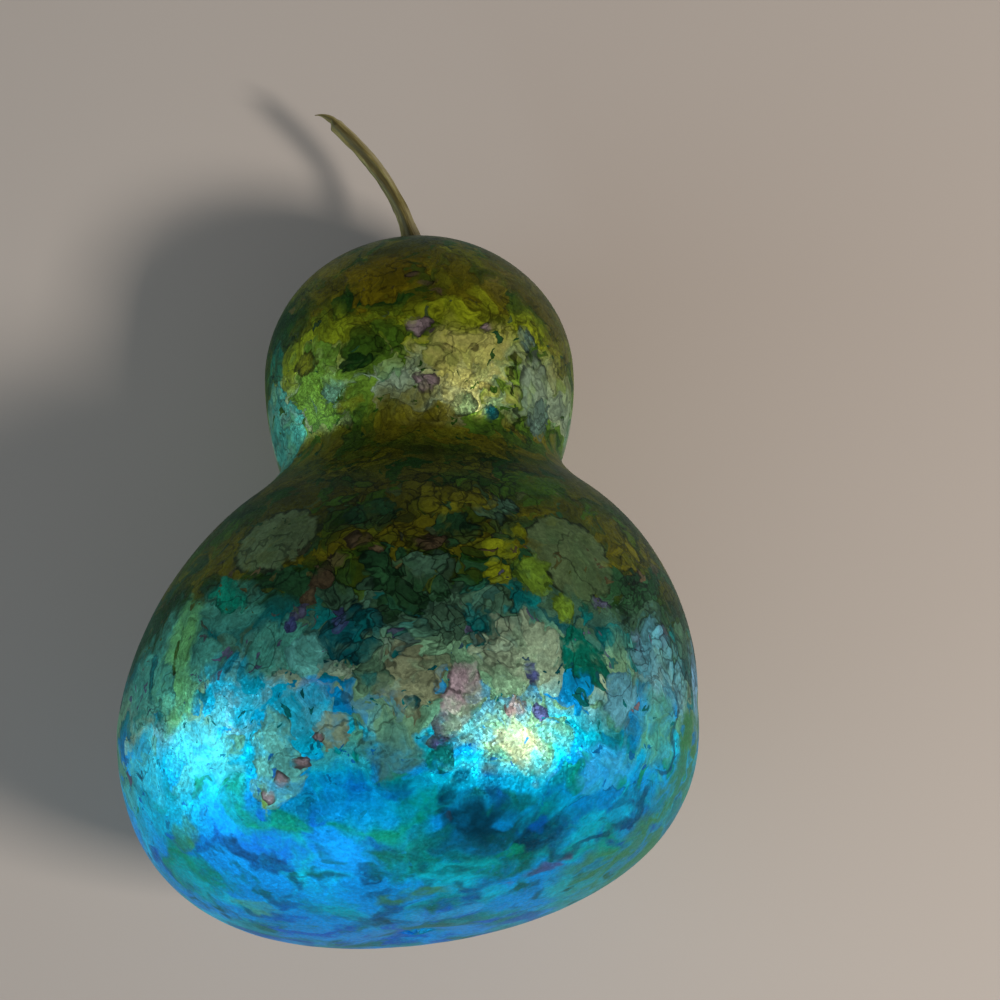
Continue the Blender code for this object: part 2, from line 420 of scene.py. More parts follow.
def stem_tree(finish, sizes):
    """The stem: a closed rod wrapped round its path, ridged, twisted, flared and torn."""
    graph, size = geometry_graph("stem", sizes)
    path = graph.add("GeometryNodeMeshToCurve", {}, {"Mesh": size["Geometry"]})
    rod = graph.add(
        "GeometryNodeMeshCylinder",
        {"fill_type": "TRIANGLE_FAN"},
        {"Vertices": size["Sides"], "Side Segments": size["Steps"], "Radius": 1.0, "Depth": 1.0},
    )
    x, y, z = graph.parts(graph.add("GeometryNodeInputPosition"))
    share = (z + 0.5).clamped()
    turn = y.math("ARCTAN2", x)
    aside, up = turn.math("COSINE"), turn.math("SINE")
    rim = (x * x + y * y) ** 0.5
    sample = {"Curves": path, "Factor": share}
    sample = graph.add("GeometryNodeSampleCurve", {"mode": "FACTOR"}, sample)
    centre, ahead = sample.other("Position"), sample.other("Tangent")
    across = graph.vector("NORMALIZE", graph.vector("CROSS_PRODUCT", ahead, (0.0, 0.0, 1.0)))
    over = graph.vector("CROSS_PRODUCT", across, ahead)

    whole = share * (STEM_END_RADIUS - STEM_RADIUS) + size["Radius"]
    flare = (share * (-STEM_LENGTH / STEM_FOOT_LENGTH)).math("EXPONENT") * STEM_FOOT_FLARE + 1.0
    ridge = ((turn - share * STEM_TWIST) * STEM_RIDGES).math("COSINE") * STEM_RIDGE_DEPTH + 1.0
    thin_rod = [aside * FIBRE_ROD_RADIUS, up * FIBRE_ROD_RADIUS, share * FIBRE_ROD_LENGTH]
    fibre = graph.noise(graph.joined(*thin_rod), FIBRE_SIZE, 3.0, 0.6) - 0.5
    fibre = fibre * FIBRE_DEPTH + 1.0
    knots = (graph.noise(centre, KNOT_SIZE, 2.0, 0.5) - 0.5) * KNOT_DEPTH + 1.0
    torn = graph.step(share + (fibre - 1.0) * TEAR_RAGGEDNESS, TEAR_START, TEAR_END)
    splinter = graph.step(share, TEAR_END, 1.0, SPLINTER_RADIUS, SPLINTER_TIP)
    radius = whole * flare * ridge * fibre * knots * (1.0 - torn) + splinter * torn
    push = (whole - radius) * torn
    out = radius * rim

    reach = out * aside + push * SPLINTER_SHIFT
    place = graph.vector("ADD", centre, scaled(graph, across, reach))
    place = graph.vector("ADD", place, scaled(graph, over, out * up))
    store = {"data_type": "FLOAT_VECTOR", "domain": "POINT"}
    kept = {"Geometry": rod, "Name": "strand", "Value": graph.joined(aside, up, share)}
    rod = graph.add("GeometryNodeStoreNamedAttribute", store, kept)
    rod = graph.add("GeometryNodeSetPosition", {}, {"Geometry": rod, "Position": place})
    finish_graph(graph, rod, finish)
    return graph


def scaled(graph, vector, amount):
    return graph.vector("MULTIPLY", vector, graph.joined(amount, amount, amount))


def build_stem(finish):
    points = stem_path()
    start = bpy.data.meshes.new("stem_path")
    start.from_pydata(points, [(i, i + 1) for i in range(len(points) - 1)], [])
    sizes = {"Radius": STEM_RADIUS, "Sides": STEM_SIDES, "Steps": STEM_STEPS}
    piece = grown("dry_stem", start, stem_tree(finish, sizes), sizes)
    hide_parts("stem")
    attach(piece, "root")


# Materials


def material_graph(name):
    made = bpy.data.materials.new(name)
    made.use_nodes = True
    graph = Graph(made.node_tree)
    return made, graph, made.node_tree.nodes["Principled BSDF"]


INK_LEVELS = {
    "mustard": (106, 110, 22),
    "ochre": (116, 106, 10),
    "olive": (96, 94, 14),
    "deep olive": (70, 74, 14),
    "umber olive": (92, 86, 38),
    "chartreuse": (134, 148, 26),
    "pale yellow": (180, 178, 100),
    "yellow green": (104, 140, 44),
    "moss": (60, 92, 22),
    "dark green": (24, 60, 18),
    "forest": (36, 76, 46),
    "bloom green": (94, 118, 80),
    "pale bloom": (108, 134, 94),
    "dark bloom": (74, 100, 66),
    "sea olive": (60, 132, 84),
    # Green ink, brightened with the left light's sheen painted in.
    "fresh green": (104, 178, 110),
    "sage": (104, 150, 120),
    "pale sage": (146, 172, 146),
    "cream": (134, 146, 116),
    "turquoise": (76, 162, 146),
    "dark teal": (8, 78, 86),
    "teal": (4, 112, 116),
    "sea green": (0, 144, 118),
    "pine": (0, 104, 88),
    "cyan": (0, 186, 226),
    # Cyan ink, paler with the left light's sheen painted in.
    "pale cyan": (60, 196, 222),
    "azure": (0, 148, 232),
    "bright azure": (0, 164, 255),
    "light azure": (48, 166, 240),
    "royal": (0, 104, 210),
    "sky": (90, 160, 186),
    "slate": (92, 122, 112),
    "ice": (120, 176, 222),
    "navy": (0, 58, 96),
    "deep teal": (0, 56, 84),
    "mauve": (140, 124, 130),
    "violet": (72, 84, 140),
    "brown mauve": (88, 76, 56),
    "plum": (84, 88, 116),
    "grey teal": (68, 106, 86),
    "dull teal": (66, 116, 108),
    "pale teal": (100, 186, 180),
    "pale mauve": (168, 152, 166),
}
INKS = {ink: paint(*levels) for ink, levels in INK_LEVELS.items()}

# The first washes, from the base to the crown: where each ink settles, in millimetres.
UNDER_WASH = [
    (-45, "azure"), (-38, "azure"), (-30, "azure"), (-22, "cyan"), (-14, "turquoise"), (-6, "sage"),
    (1, "sage"), (7, "teal"), (13, "forest"), (22, "forest"), (32, "deep olive"), (46, "deep olive"),
    (56, "moss"), (64, "yellow green"), (74, "moss"), (82, "olive"), (92, "olive"), (104, "deep olive"),
    (111, "olive"),
]
OVER_WASH = [
    (-45, "teal"), (-38, "cyan"), (-30, "sea green"), (-22, "azure"), (-13, "cyan"), (-5, "pale sage"),
    (3, "dark teal"), (10, "grey teal"), (18, "dark green"), (27, "olive"), (36, "dark green"),
    (46, "olive"), (56, "olive"), (66, "pale sage"), (76, "chartreuse"), (86, "dark green"),
    (96, "mustard"), (111, "umber olive"),
]
FLECKS = [
    (-45, "royal"), (-36, "pine"), (-28, "royal"), (-20, "sea green"), (-10, "azure"), (-2, "teal"),
    (6, "grey teal"), (13, "dark green"), (22, "olive"), (32, "moss"), (44, "dark green"),
    (56, "mustard"), (64, "sage"), (74, "chartreuse"), (86, "deep olive"), (100, "moss"),
]
SPECKS = [
    (-45, "cyan"), (-36, "azure"), (-28, "teal"), (-20, "royal"), (-12, "teal"), (-4, "dark teal"),
    (4, "plum"), (12, "moss"), (20, "brown mauve"), (30, "forest"), (42, "umber olive"),
    (54, "dark green"), (64, "moss"), (76, "forest"), (88, "umber olive"), (104, "dark green"),
]

# Edges of a pool: it fades out, or dries with a thin rim, a dark one, or a wide dark one. The rim's
# width is in millimetres, and its shade is the share of the ink's colour that it keeps. The steps
# say how many rim widths in from the edge the rim is full, the ink begins, and the ink is full.
SOFT, THIN, DARK, BOLD = "soft", "thin", "dark", "bold"
RIM_WIDTH = {THIN: 0.40, DARK: 0.45, BOLD: 0.75}
RIM_SHADE = {THIN: 0.50, DARK: 0.24, BOLD: 0.15}
COVER = {SOFT: 0.88, THIN: 0.82, DARK: 0.90, BOLD: 0.86}
WIDEST_RIM = 0.22
RIM_STEPS = (0.5, 0.8, 2.4)
SOFT_FADE = (1.15, 0.60)

# Small pools, in millimetres, keep their places better than wide ones. Past the base's edge a
# pool is as deep as it is long, because the skin there faces along the fruit.
SMALL_POOL = 4.7
BASE_EDGE = -18
POOL_REACH = 1.3
POOL_MARGIN = 7

# Stretches that dried thin, and those without a rim.
WET_SIZE = 0.0050
SHEER = (0.36, 0.62, 0.60, 1.0)
BROKEN_RIM = (0.40, 0.54, 0.15, 0.95)

# Lobes of a pool's edge.
LOBE_SIZE = 0.0050
LOBE_DEPTH = 0.8
CELL_LOBE = 0.42
LOBE_SHIFT = 0.18
BOLD_LOBES = 0.5

# Inks that dry without lines inside.
SMOOTH_INKS = ("pale yellow", "pale sage", "pale bloom", "bloom green")
SMOOTHNESS = 0.75

# How wet ink runs: the size of the noise that stirs it, and how far that pushes it.
DRIFT_SIZE, DRIFT_PUSH = 0.013, 0.014
FLOW_SIZE, FLOW_PUSH = 0.0036, 0.0034
CRISP_FLOW_PUSH = 0.0016
RIPPLE_SHARE = 0.7
PATCH_SIZE = 0.016

# The underside has the same pools, turned half round. The edge between the two wanders this far.
UNDERSIDE_WANDER = 0.05

# Between these places along the fruit the ink goes from blurred to crisp.
CRISP_SPAN = (-0.034, -0.012)

# Where the ink broke up into cells: two stretches along the fruit with soft ends, in millimetres,
# and on the shoulder how far they reach across it, in metres.
CELL_SIZE = 0.0030
CELL_PULL = 0.62
SHOULDER_CELLS = (-3, 50, 6)
CROWN_CELLS = (57, 84, 5)
CROWN_CELL_SHARE = 0.6
CELL_MIDDLE = 0.0065
CELL_REACH = (0.021, 0.017)
CELL_RIGHT_EDGE = (0.043, 0.046)
CELL_PATCHES = (0.34, 0.44)
CELL_GAP = (0.13, 0.04)
RIMLESS_CELLS = (0.24, 0.30, 0.25, 1.0)
CELL_TONE_SPREAD = 0.5
DARKEST_CELL = 0.78

# Layers over the first wash: the size of their noise, the level past which each lies, and how
# much the noise rises towards the edge of a cell.
OVER_SIZE, OVER_LEVEL, OVER_CELL_LIFT = 0.014, 0.525, 0.05
FLECK_SIZE, FLECK_LEVEL, FLECK_CELL_LIFT = 0.0065, 0.600, 0.06
SPECK_SIZE, SPECK_EDGE = 0.0030, (0.665, 0.678)
CRISP_FADE = 0.008
BLURRED_FADE = 0.08
BLURRED_SPECKS = 0.3

# Dark lines: how strongly each kind shows, and the share of the colour that it keeps.
WASH_LINE = (0.5, 0.45)
SPECK_LINE = (0.6, 0.3)
CELL_LINE = (0.8, 0.22)
CRACK_LINE = (0.85, 0.12)
DROP_LINE = (0.8, 0.2)
VEIN_LINE = (0.6, 0.2)

# Contours inside the layers: the noise, the level that it passes, and the step in tone there.
CONTOURS = [
    ("over", 0.45, 0.16), ("over", 0.61, -0.12),
    ("fleck", 0.46, 0.14), ("fleck", 0.54, -0.12),
    ("ripples", 0.44, 0.16), ("ripples", 0.57, 0.12),
]
CONTOUR_HALF_WIDTH = 0.010
RIPPLE_SIZE, RIPPLE_TONE = 0.0042, (0.30, 0.70, 0.88, 1.12)
GRAIN_SIZE, GRAIN_TONE = 0.0008, (0.30, 0.72, 0.86, 1.16)
VEIN_SIZE = 0.018
VEIN_WIDTH = (0.010, 0.004)
VEIN_PATCHES = (0.42, 0.50)

# The olive belt low on the right and the broken line above it, in metres.
BELT_SIDE = (0.024, 0.036)
BELT_END = (0.000, -0.007)
BELT_TOP = (0.0250, 0.0180)
BELT_BOTTOM = (-0.030, -0.022)
BELT_WANDER = 0.030
BELT_RIPPLE = 0.010
BELT_COVER = (0.60, 0.44, 0.25, 0.85)
BELT_LINE = 0.0280
BELT_LINE_WIDTH = (0.0016, 0.0006)
BELT_LINE_BREAKS = (0.42, 0.50)
BELT_LINE_COVER = 0.7

# The crack on the crown's right: its place, width and height, and its stretch in millimetres.
CRACK_PLACE = 0.0268
CRACK_WIDTH = (0.00050, 0.00022)
CRACK_HEIGHT = (0.0, 0.004)
CRACK_SPAN = (56, 72, 1)
CRACK_WANDER = 1.8

# Drops that fell on the dry ink. They end between two places along the fruit.
DROP_SPACING = 0.0125
DROP_RADIUS = (0.155, 0.135)
DROP_CHOICE = (0.62, 0.64)
DROPS_END = (0.026, 0.016)

# The pearl flakes, and the shine of the whole skin.
FLAKE_SIZE = 0.00045
FLAKE_TILT = 0.18
PEARL = {
    "Metallic": 0.55,
    "Roughness": 0.41,
    "Specular IOR Level": 0.15,
    "Specular Tint": (0.35, 0.62, 0.70, 1.0),
    "Coat Weight": 0.04,
    "Coat Roughness": 0.22,
}

# Pools of ink, in the order that they were dropped: the ink, its place across and along
# the fruit, half its width and half its length, all in millimetres, and its edge.
CROWN_POOLS = [
    ("umber olive", 30, 92, 13, 9, SOFT),
    ("umber olive", 37, 80, 7, 13, SOFT),
    ("ochre", -13, 99, 10, 7, SOFT),
    ("ochre", -1, 91, 7.5, 7.5, THIN),
    ("olive", 16, 87, 7.5, 7.5, THIN),
    ("dark green", -22, 86, 9, 9, SOFT),
    ("dark green", -28, 79, 6, 8, SOFT),
    ("pale yellow", 18, 69, 13, 10, SOFT),
    ("chartreuse", 15, 80, 6.5, 4.5, SOFT),
    ("chartreuse", 21, 84, 2.4, 4.0, SOFT),
    ("yellow green", -13, 69, 9.5, 7.5, THIN),
    ("chartreuse", -16, 77.5, 6, 2.2, SOFT),
    ("chartreuse", -11, 80, 4, 2.4, SOFT),
    ("mustard", -17.4, 73.8, 4.0, 2.5, DARK),
    ("moss", -5, 74, 6, 2.4, THIN),
    ("dark green", -6, 71, 5.5, 1.8, THIN),
    ("sage", -11.7, 65.7, 4.0, 2.7, THIN),
    ("moss", 1, 76, 4, 4, SOFT),
    ("pine", -25, 78, 6.5, 6.5, SOFT),
    ("turquoise", -24.5, 64, 8.5, 12, THIN),
    ("pale sage", 31, 66.5, 5.4, 9.5, BOLD),
    ("slate", 31.5, 61.0, 4.4, 4.6, THIN),
    ("slate", 29.8, 77, 2.9, 3.0, DARK),
    ("dark teal", 21.3, 60, 2.4, 2.0, THIN),
    ("bloom green", 15.5, 60.5, 3.2, 2.8, DARK),
    ("olive", 4, 57, 12, 8, SOFT),
    ("olive", 13, 60, 6, 3, SOFT),
    ("mustard", -8.8, 61.5, 2.6, 3.4, SOFT),
    ("brown mauve", 6.5, 90.2, 2.0, 1.0, DARK),
    ("brown mauve", 9, 88, 2.2, 1.0, DARK),
    ("brown mauve", 11.5, 85.5, 1.8, 1.0, DARK),
    ("mauve", 7.6, 77.3, 3.2, 2.5, DARK),
    ("mauve", 8.4, 65.4, 3.3, 2.5, DARK),
    ("mauve", 21.3, 77.6, 2.0, 1.6, DARK),
    ("pale yellow", 13, 72.4, 2.0, 1.6, DARK),
    ("pale yellow", 18.4, 72.6, 1.9, 1.6, DARK),
    ("pale yellow", 20.3, 64.5, 1.4, 1.3, DARK),
]
SHOULDER_POOLS = [
    ("olive", -22, 46, 10, 5, SOFT),
    ("moss", 30, 38, 10, 5, SOFT),
    ("pale bloom", -22.5, 27, 10.5, 9.0, BOLD),
    ("dark green", -9.5, 29, 3.6, 7, SOFT),
    ("grey teal", 8, 16, 6, 5, THIN),
    ("forest", 1, 14, 6, 5.5, THIN),
    ("grey teal", 11, 9, 5, 4.5, THIN),
    ("forest", -3, 30, 6, 4, THIN),
    ("forest", 13, 25, 5.5, 4.6, DARK),
    ("grey teal", 21, 30, 5, 4.0, DARK),
    ("mustard", 10.5, 32, 5.5, 4.6, THIN),
    ("mustard", 17, 32.5, 5.5, 3.0, THIN),
    ("brown mauve", 9, 22, 3.4, 2.4, DARK),
    ("bloom green", 35.5, 20.5, 10.5, 10.5, BOLD),
    ("dark bloom", 38, 18, 5.6, 6, SOFT),
    ("chartreuse", 22, 20, 4.6, 3, THIN),
    ("chartreuse", 25, 24, 2.2, 2.6, THIN),
    ("yellow green", 27.5, 15, 4.5, 4.5, THIN),
    ("chartreuse", 21, 14.5, 3.6, 3.4, THIN),
    ("yellow green", 33, 8.6, 3.4, 3.6, THIN),
    ("brown mauve", -5, 23.5, 3.4, 1.7, DARK),
    ("moss", -7, 18.5, 4.5, 5, SOFT),
    ("turquoise", -31, 13, 8.5, 8, SOFT),
    ("sea green", -31, 16.5, 5.5, 4.8, THIN),
    # Turquoise and green on the left rim: ink, brightened with the left light's sheen painted in.
    ("turquoise", -44, 4, 11, 15, SOFT),
    ("turquoise", -51, 2, 9, 12, SOFT),
    ("fresh green", -43, 2, 7, 11, SOFT),
    ("fresh green", -40, 11, 5, 8, SOFT),
    ("turquoise", -36, 4.5, 4.6, 6.5, THIN),
    ("turquoise", -45.5, 0, 4.4, 7.0, THIN),
    ("fresh green", -40.5, 9.5, 2.6, 5.5, THIN),
    ("moss", -42.5, 7, 1.0, 6.5, THIN),
    ("teal", -48, 5, 1.4, 8, THIN),
    ("forest", 47, 15, 5, 8, THIN),
    ("plum", 40.3, 10.7, 3.2, 1.8, DARK),
    ("plum", 53, 8, 2.2, 3.8, DARK),
    ("plum", 47.3, 4.3, 1.8, 3.2, THIN),
]
BELLY_POOLS = [
    ("turquoise", -19.5, 2.6, 9.5, 5, THIN),
    ("pale teal", -15.5, 0.5, 4.5, 4.5, THIN),
    ("dark teal", -6.5, 3.8, 5.4, 6.5, THIN),
    ("teal", -4.5, 3, 2.6, 3.6, SOFT),
    ("brown mauve", -10.2, 19, 2.6, 3.0, DARK),
    ("brown mauve", -12.4, 15.6, 2.6, 3.0, THIN),
    ("brown mauve", -14.8, 12.4, 2.4, 3.0, THIN),
    ("plum", -16.8, 9.4, 2.2, 2.6, THIN),
    ("violet", -18.4, 6.8, 1.8, 2.4, THIN),
    ("violet", -9, 7, 1.6, 3.2, THIN),
    ("grey teal", 11, 5, 6.5, 4.2, THIN),
    ("forest", 3, 9, 5.5, 4, THIN),
    ("forest", 8, 11, 4.2, 3.4, THIN),
    ("teal", 16, 5, 3.2, 3.0, THIN),
    ("sage", 1, -9, 9, 9, SOFT),
    ("cream", 4, -6, 5.5, 6.5, THIN),
    ("grey teal", -3.2, -5.2, 3.8, 3.4, THIN),
    ("teal", -3.0, -5.6, 2.0, 1.8, SOFT),
    ("dark teal", 3.9, -10.2, 1.8, 1.3, THIN),
    ("pale sage", 24, -2.5, 9.5, 7.5, THIN),
    ("pine", 36.4, -1, 6.0, 6.5, THIN),
    ("teal", 40.7, 4.1, 3.6, 2.6, THIN),
    ("sky", 52, -2, 9, 11, SOFT),
    ("teal", 45, -9, 9, 9, SOFT),
    ("azure", 47, -10, 5, 6, SOFT),
    ("sky", 56, -2, 5, 9, SOFT),
    ("turquoise", 51, -13, 6.5, 9.0, SOFT),
    ("sky", 43, -7.5, 4.6, 6.5, THIN),
    ("cyan", -31.2, -3.2, 8.4, 7.4, SOFT),
    ("azure", -14, -6.4, 4.4, 4.0, SOFT),
    ("cyan", -18, -10, 9, 5, SOFT),
    ("cyan", -25, -7, 7, 6, SOFT),
    ("cyan", -27.5, -16.5, 4.6, 5.5, SOFT),
    ("pale mauve", 14.0, -7.4, 4.0, 4.9, DARK),
    ("pale mauve", 12, -11.2, 3.4, 4.2, THIN),
    ("plum", 9.8, -14.6, 2.6, 3.6, THIN),
    ("violet", 8.2, -17.6, 1.9, 2.6, DARK),
    # Sage and cream where the key light's highlight falls: pale ink, with the highlight's pale colour
    # painted in.
    ("sage", 21, -14, 13, 11, SOFT),
    ("cream", 22, -17, 6.0, 5.0, SOFT),
    ("violet", 26, -5, 1.4, 3.0, THIN),
    ("mauve", 22.4, -11.3, 2.6, 2.4, THIN),
    ("violet", 27.5, -11.8, 2.2, 1.5, THIN),
    ("teal", -47, -6, 3.5, 3.0, SOFT),
    ("pale teal", -22.5, -18.5, 5.0, 10, THIN),
    ("yellow green", -23, -23, 1.8, 3.6, SOFT),
    ("pale sage", -11.5, -14.2, 3.9, 3.6, THIN),
    ("dull teal", 0, -16.8, 7.0, 7.0, SOFT),
    ("azure", -9, -24, 8.5, 6, SOFT),
    ("royal", -8, -23, 4, 3, SOFT),
    ("teal", 8.8, -20.0, 3.1, 3.6, THIN),
    ("light azure", 39.7, -19.3, 9.0, 5.6, SOFT),
    ("azure", 38.6, -26.5, 8.5, 5.5, THIN),
    ("sea olive", 57, -10, 3.4, 9, SOFT),
    ("ice", 60, 0, 5, 12, SOFT),
    ("mauve", -14.1, -15.3, 1.6, 1.4, DARK),
    ("mauve", -17.4, -18.9, 2.0, 1.5, DARK),
    ("mauve", -21.3, -21.6, 2.0, 2.0, DARK),
    ("mauve", -24.1, -23.9, 1.8, 1.8, DARK),
]
BASE_POOLS = [
    # Pale cyan pools where the left light's sheen falls: cyan ink with the sheen painted in.
    ("pale cyan", -38, -13, 9, 9, SOFT),
    ("cyan", -48, -20, 9, 9, SOFT),
    ("pale cyan", -51, -12, 7, 8, SOFT),
    ("bright azure", -32, -27, 9, 5, SOFT),
    ("sea olive", -43, -26, 3.0, 7, SOFT),
    ("sea green", -38.4, -33, 7, 4.4, SOFT),
    ("cyan", -32.8, -37.5, 6.5, 4.5, SOFT),
    ("royal", -24, -32, 8.5, 5.0, SOFT),
    ("navy", -25, -33.4, 5.4, 3.2, SOFT),
    ("navy", -30, -30.6, 3.0, 1.8, SOFT),
    ("turquoise", -28, -39, 8, 5, SOFT),
    ("sea green", -18.5, -28.3, 5.5, 4, SOFT),
    ("bright azure", -16.5, -39.2, 6.4, 4.6, SOFT),
    ("navy", -9, -37.6, 3.6, 4.2, SOFT),
    ("pine", 1, -36.5, 11, 6.5, SOFT),
    ("sea green", 5, -28.3, 7, 5, SOFT),
    ("dark teal", 15, -32, 11.0, 8.0, SOFT),
    ("dark teal", 28, -32, 12.0, 8.0, SOFT),
    ("pine", 20, -37, 10.0, 5.0, SOFT),
    ("deep teal", 13, -31, 8.6, 4.6, SOFT),
    ("deep teal", 27, -32, 8.6, 5.0, SOFT),
    ("teal", 20, -27.5, 8.0, 2.6, SOFT),
    ("sea green", 21, -34.5, 6.0, 2.4, SOFT),
    ("azure", 19, -30, 2.6, 2.2, SOFT),
    ("teal", 6, -32.5, 4.0, 2.6, SOFT),
    ("royal", 29, -29, 5.0, 2.4, SOFT),
    ("navy", 11, -27.5, 3.4, 2.2, SOFT),
    ("navy", 10.5, -25.7, 3.6, 2.4, SOFT),
    ("cyan", 38, -30, 7, 5, SOFT),
    ("plum", 21, -39.4, 6.5, 1.6, SOFT),
    ("violet", 28, -37.2, 6.5, 2.2, SOFT),
    ("plum", 34, -34.5, 5.0, 2.0, SOFT),
    ("sea olive", 39, -36, 9, 3.4, SOFT),
    ("sea olive", 47, -29, 5, 5, SOFT),
    ("light azure", 8, -43.2, 12, 3.4, SOFT),
    ("sea olive", 6, -40.4, 9, 2.6, SOFT),
    ("sea green", -30, -24, 3.4, 6, SOFT),
    ("sea green", 19, -43, 6.5, 3.6, SOFT),
    ("sea olive", -21.7, -42.4, 6, 3.4, SOFT),
    ("dark teal", -7, -43.4, 7, 4, SOFT),
    ("deep teal", 8.4, -38.8, 5.0, 2.8, SOFT),
    ("sea olive", -1.6, -41.3, 5.5, 2.6, SOFT),
]

POOLS = CROWN_POOLS + SHOULDER_POOLS + BELLY_POOLS + BASE_POOLS

# Parts of the skin, so that each place only looks through the pools near it.
SKIN_PARTS = [
    ("base", -99, -24),
    ("low_belly", -24, -9),
    ("belly", -9, 10),
    ("shoulder", 10, 50),
    ("crown", 50, 199),
]
WITH_CELLS = ("belly", "shoulder", "crown")
WITH_BELT = ("base", "low_belly", "belly")


def profile_radius(along):
    """The same profile as the geometry tree's, for placing ink on the skin."""
    reach, power = (SHOULDER_REACH, 2.0) if along > 0 else (BASE_DEPTH, BASE_SQUARENESS)
    belly = BELLY_RADIUS * max(1 - abs(along / reach) ** power, 0) ** (1 / power)
    above = along - CROWN_SPACING
    crown_reach = CROWN_RISE if above > 0 else CROWN_DROP
    crown = CROWN_RADIUS * max(1 - (above / crown_reach) ** 2, 0) ** 0.5
    return max(belly, crown)


def skin_place(across, along):
    """The point of the upper skin at that place, in metres."""
    lean = CROWN_SIDESTEP * math.sin(min(max(along / CROWN_SPACING, 0), 1) * math.pi / 2)
    radius = profile_radius(along)
    return Vector((across, along, math.sqrt(max(radius**2 - (across - lean) ** 2, 0))))


def even(graph, amount):
    """The same amount on all three axes."""
    return graph.joined(amount, amount, amount) if isinstance(amount, Wire) else (amount,) * 3


def stirred(graph, place, size, amount, detail, roughness):
    """Pushes each place aside by noise of that size, as spirit pushes wet ink."""
    push = graph.vector("SUBTRACT", graph.noise(place, size, detail, roughness, "Color"), (0.5,) * 3)
    return graph.vector("MULTIPLY_ADD", push, even(graph, amount), place)


def between(graph, value, low, high, fade):
    """1 between two places along the fruit, given in millimetres, with soft ends."""
    rise = graph.step(value, (low - fade) * MM, (low + fade) * MM)
    return rise * graph.step(value, (high + fade) * MM, (high - fade) * MM)


def voronoi(graph, feature, place, size):
    inputs = {"Vector": place, "Scale": 1 / size}
    return graph.add("ShaderNodeTexVoronoi", {"feature": feature}, inputs)


def cell_share(graph, across, along, patch):
    """Where the ink broke up into cells: on the shoulder, at its right edge and on the crown."""
    beside = (across - CELL_MIDDLE).math("ABSOLUTE")
    reach = graph.step(beside, *CELL_REACH) + graph.step(across, *CELL_RIGHT_EDGE)
    shoulder = between(graph, along, *SHOULDER_CELLS) * reach
    both = (shoulder + between(graph, along, *CROWN_CELLS) * CROWN_CELL_SHARE).clamped()
    return both * graph.step(patch, *CELL_PATCHES)


def stirred_skin(graph):
    """Where the ink at each place came from, and the noises that its layers share."""
    skin = SimpleNamespace()
    skin.own = graph.add("ShaderNodeAttribute", {"attribute_name": "own_place"}, output=1)
    across, along = graph.parts(skin.own)[:2]
    skin.crisp = graph.step(along, *CRISP_SPAN)
    drifted = stirred(graph, skin.own, DRIFT_SIZE, DRIFT_PUSH, 2.0, 0.5)
    push = skin.crisp * CRISP_FLOW_PUSH + FLOW_PUSH
    skin.sown = stirred(graph, drifted, FLOW_SIZE, push, 2.5, 0.55)
    skin.patch = graph.noise(drifted, PATCH_SIZE, 2.0, 0.5)
    skin.crowded = cell_share(graph, across, along, skin.patch)
    skin.cells = voronoi(graph, "F1", skin.sown, CELL_SIZE)
    pull = graph.vector("SUBTRACT", skin.cells.other("Position"), skin.sown)
    share = even(graph, skin.crowded * CELL_PULL)
    skin.flowed = graph.vector("MULTIPLY_ADD", pull, share, skin.sown)
    skin.along, up = graph.parts(skin.flowed)[1:]
    below = graph.step(up + (skin.patch - 0.5) * UNDERSIDE_WANDER, 0.0001, -0.0001)
    side = 1.0 - below * 2.0
    turned_over = graph.joined(side, 1.0, side)
    ripple = graph.vector("SUBTRACT", skin.flowed, drifted)
    skin.rippled = graph.vector("MULTIPLY_ADD", ripple, (RIPPLE_SHARE,) * 3, skin.own)
    skin.wide_place = graph.vector("MULTIPLY", skin.flowed, turned_over)
    skin.small_place = graph.vector("MULTIPLY", skin.rippled, turned_over)
    return skin


def darkened(colour, share):
    return (*(channel * share for channel in colour[:3]), 1.0)


def toned(graph, colour, amount):
    return graph.blend(1.0, colour, graph.joined(amount, amount, amount), "MULTIPLY")


def dark_line(graph, where, colour, look):
    """Darkens the colour where the line is, with that strength and down to that share of it."""
    strength, share = look
    return graph.blend(where * strength, colour, toned(graph, colour, share))


def rim_of(mask):
    """The line along a mask's edge."""
    return mask * (1.0 - mask) * 4.0


def wash(graph, along, stops):
    """An ink for each place along the fruit."""
    length = FRUIT_LENGTH / MM
    marks = [((place + BASE_DEPTH / MM) / length, INKS[ink]) for place, ink in stops]
    return graph.add("ShaderNodeValToRGB", {"stops": marks}, [(along + BASE_DEPTH) / FRUIT_LENGTH])


def washes(graph, skin):
    """The first wash, with a second and then flecks where their noises pass a level."""
    skin.over = graph.noise(skin.flowed, OVER_SIZE, 2.0, 0.5) + skin.cells * OVER_CELL_LIFT
    skin.fleck = graph.noise(skin.flowed, FLECK_SIZE, 2.0, 0.5) + skin.cells * FLECK_CELL_LIFT
    fade = (1.0 - skin.crisp) * BLURRED_FADE + CRISP_FADE
    second = graph.step(skin.over, OVER_LEVEL - fade, fade + OVER_LEVEL)
    flecks = graph.step(skin.fleck, FLECK_LEVEL - fade, fade + FLECK_LEVEL)
    colour = wash(graph, skin.along, UNDER_WASH)
    colour = graph.blend(second, colour, wash(graph, skin.along, OVER_WASH))
    colour = graph.blend(flecks, colour, wash(graph, skin.along, FLECKS))
    lines = (rim_of(second) * (1.0 - flecks)).math("MAXIMUM", rim_of(flecks))
    return dark_line(graph, lines * skin.crisp, colour, WASH_LINE)


def reaches(pool, low, high):
    """Whether a pool, with room for the stirring of its edge, touches that part of the skin."""
    along, reach = pool[2], pool[4] * POOL_REACH
    return low - POOL_MARGIN < along + reach and along - reach < high + POOL_MARGIN


